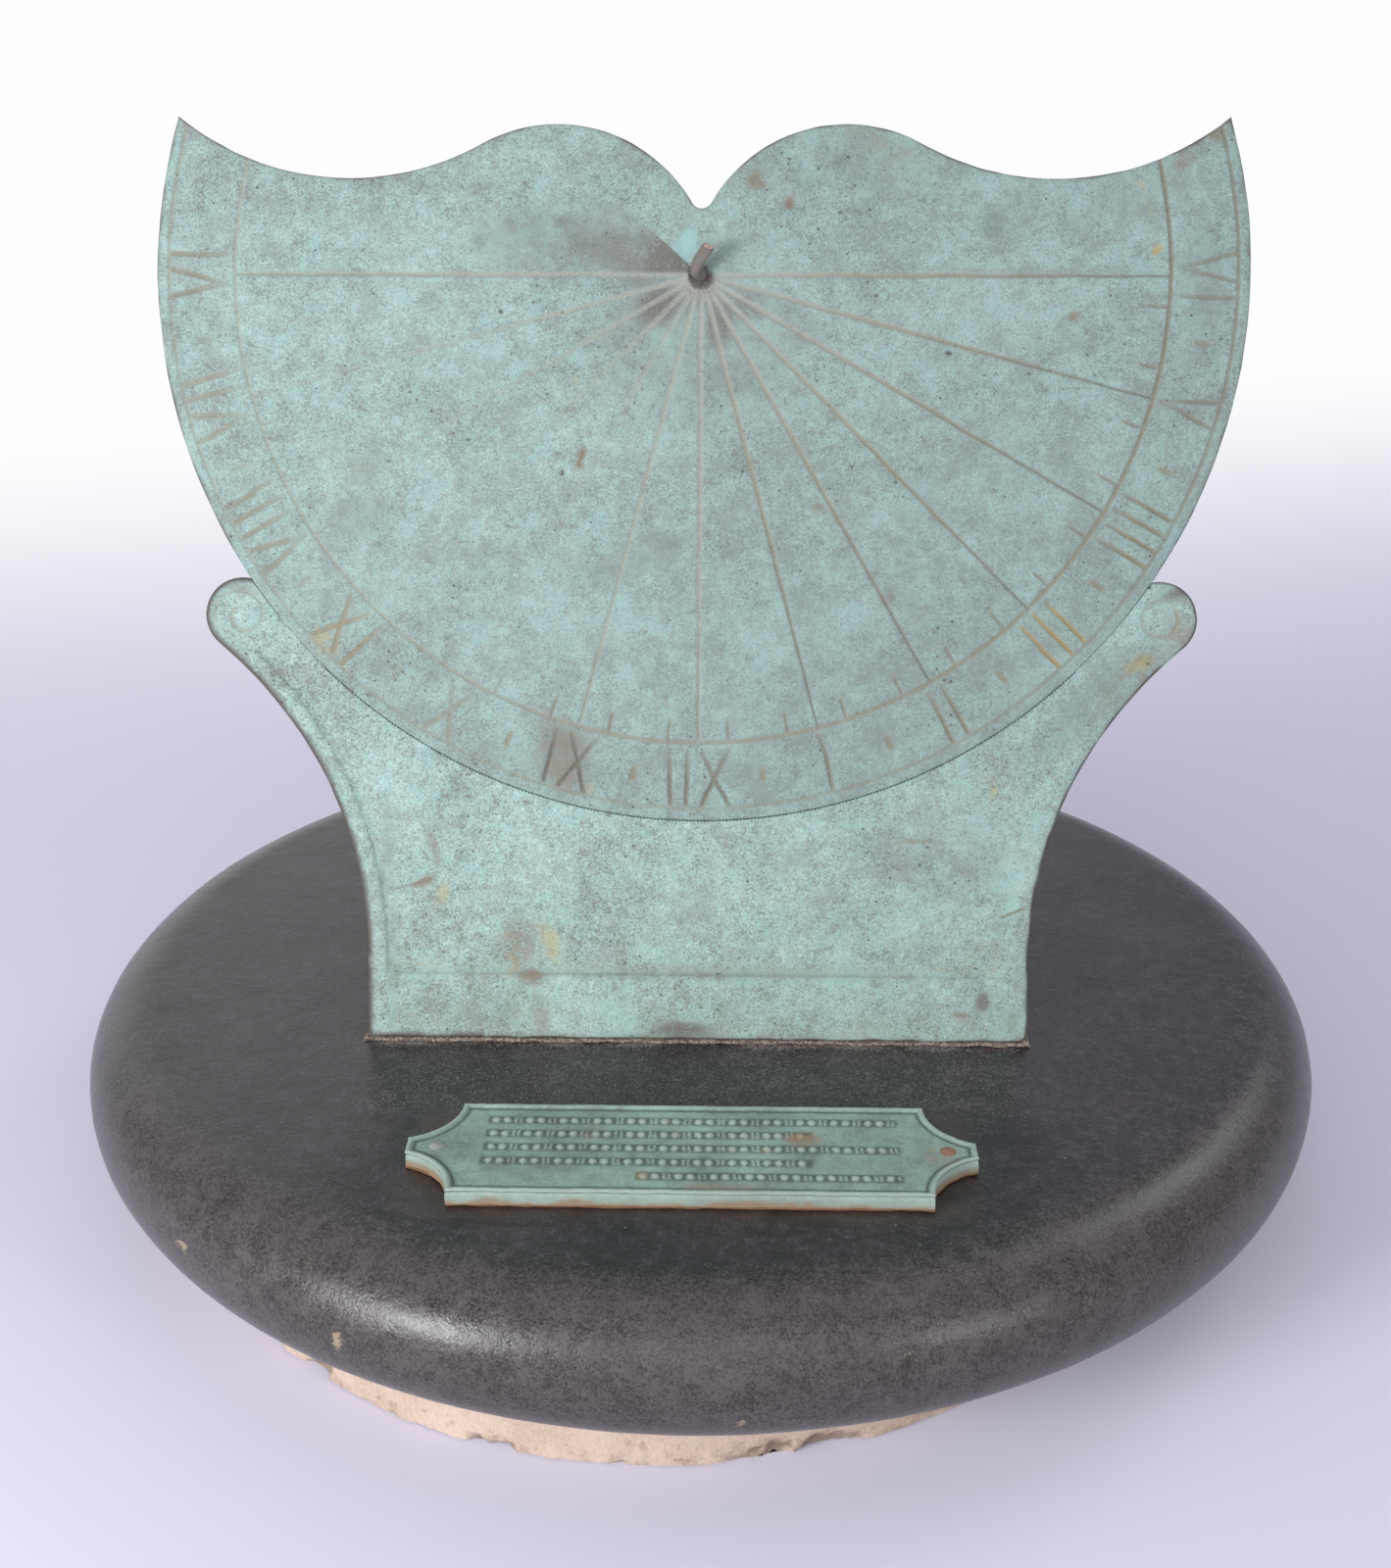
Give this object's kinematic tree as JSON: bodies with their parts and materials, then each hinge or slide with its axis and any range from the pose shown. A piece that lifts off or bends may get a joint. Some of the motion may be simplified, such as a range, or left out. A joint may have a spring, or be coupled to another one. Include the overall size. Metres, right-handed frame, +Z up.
{
  "type": "sundial",
  "caption": "Weathered bronze sundial: a leaf-shaped vertical dial on a flared stand, leaning back on a round dark stone slab with a small plaque and a rough foot stone.",
  "frame": {"origin": "centre of the round slab in plan, on the underside of the foot stone, which is the surface that the sundial stands on", "axes": "+Z up, -Y towards the viewer whom the dial faces, +X to that viewer's right"},
  "size_m": [0.3649, 0.365, 0.3074],
  "materials": {
    "verdigris_bronze": "cast bronze under a pale blue-green verdigris, matt, mottled with lilac grey and fine dark pits",
    "plaque_bronze": "pale blue-green verdigris with ochre stains, matt",
    "gnomon_bronze": "dull weathered rod with a bare reddish end",
    "fixing_bronze": "brown weathered bronze with green bloom in the corners",
    "pin_metal": "worn domed heads, dull",
    "dark_stone": "honed charcoal stone with fine light speckle",
    "foot_sandstone": "rough beige sandstone, gritty at its lower edge",
    "mortar": "sandy grey-beige mortar",
    "brown_resin": "dull brown filled resin",
    "mastic": "thin brown mastic"
  },
  "bodies": {
    "root": {"foot_stone": "foot_sandstone", "foot_mortar": "mortar", "base_slab": "dark_stone", "resin_bed": "brown_resin", "anchor_studs": "fixing_bronze", "stud_washers": "fixing_bronze", "stud_nuts": "fixing_bronze", "foot_angle": "verdigris_bronze", "stand_plate": "verdigris_bronze", "web_screws": "fixing_bronze", "dial_leaf": "verdigris_bronze", "lap_screws": "fixing_bronze", "gnomon_rod": "gnomon_bronze", "gnomon_washer": "fixing_bronze", "plaque_mastic": "mastic", "plaque": "plaque_bronze", "plaque_pins": "pin_metal"}
  },
  "joints": []
}
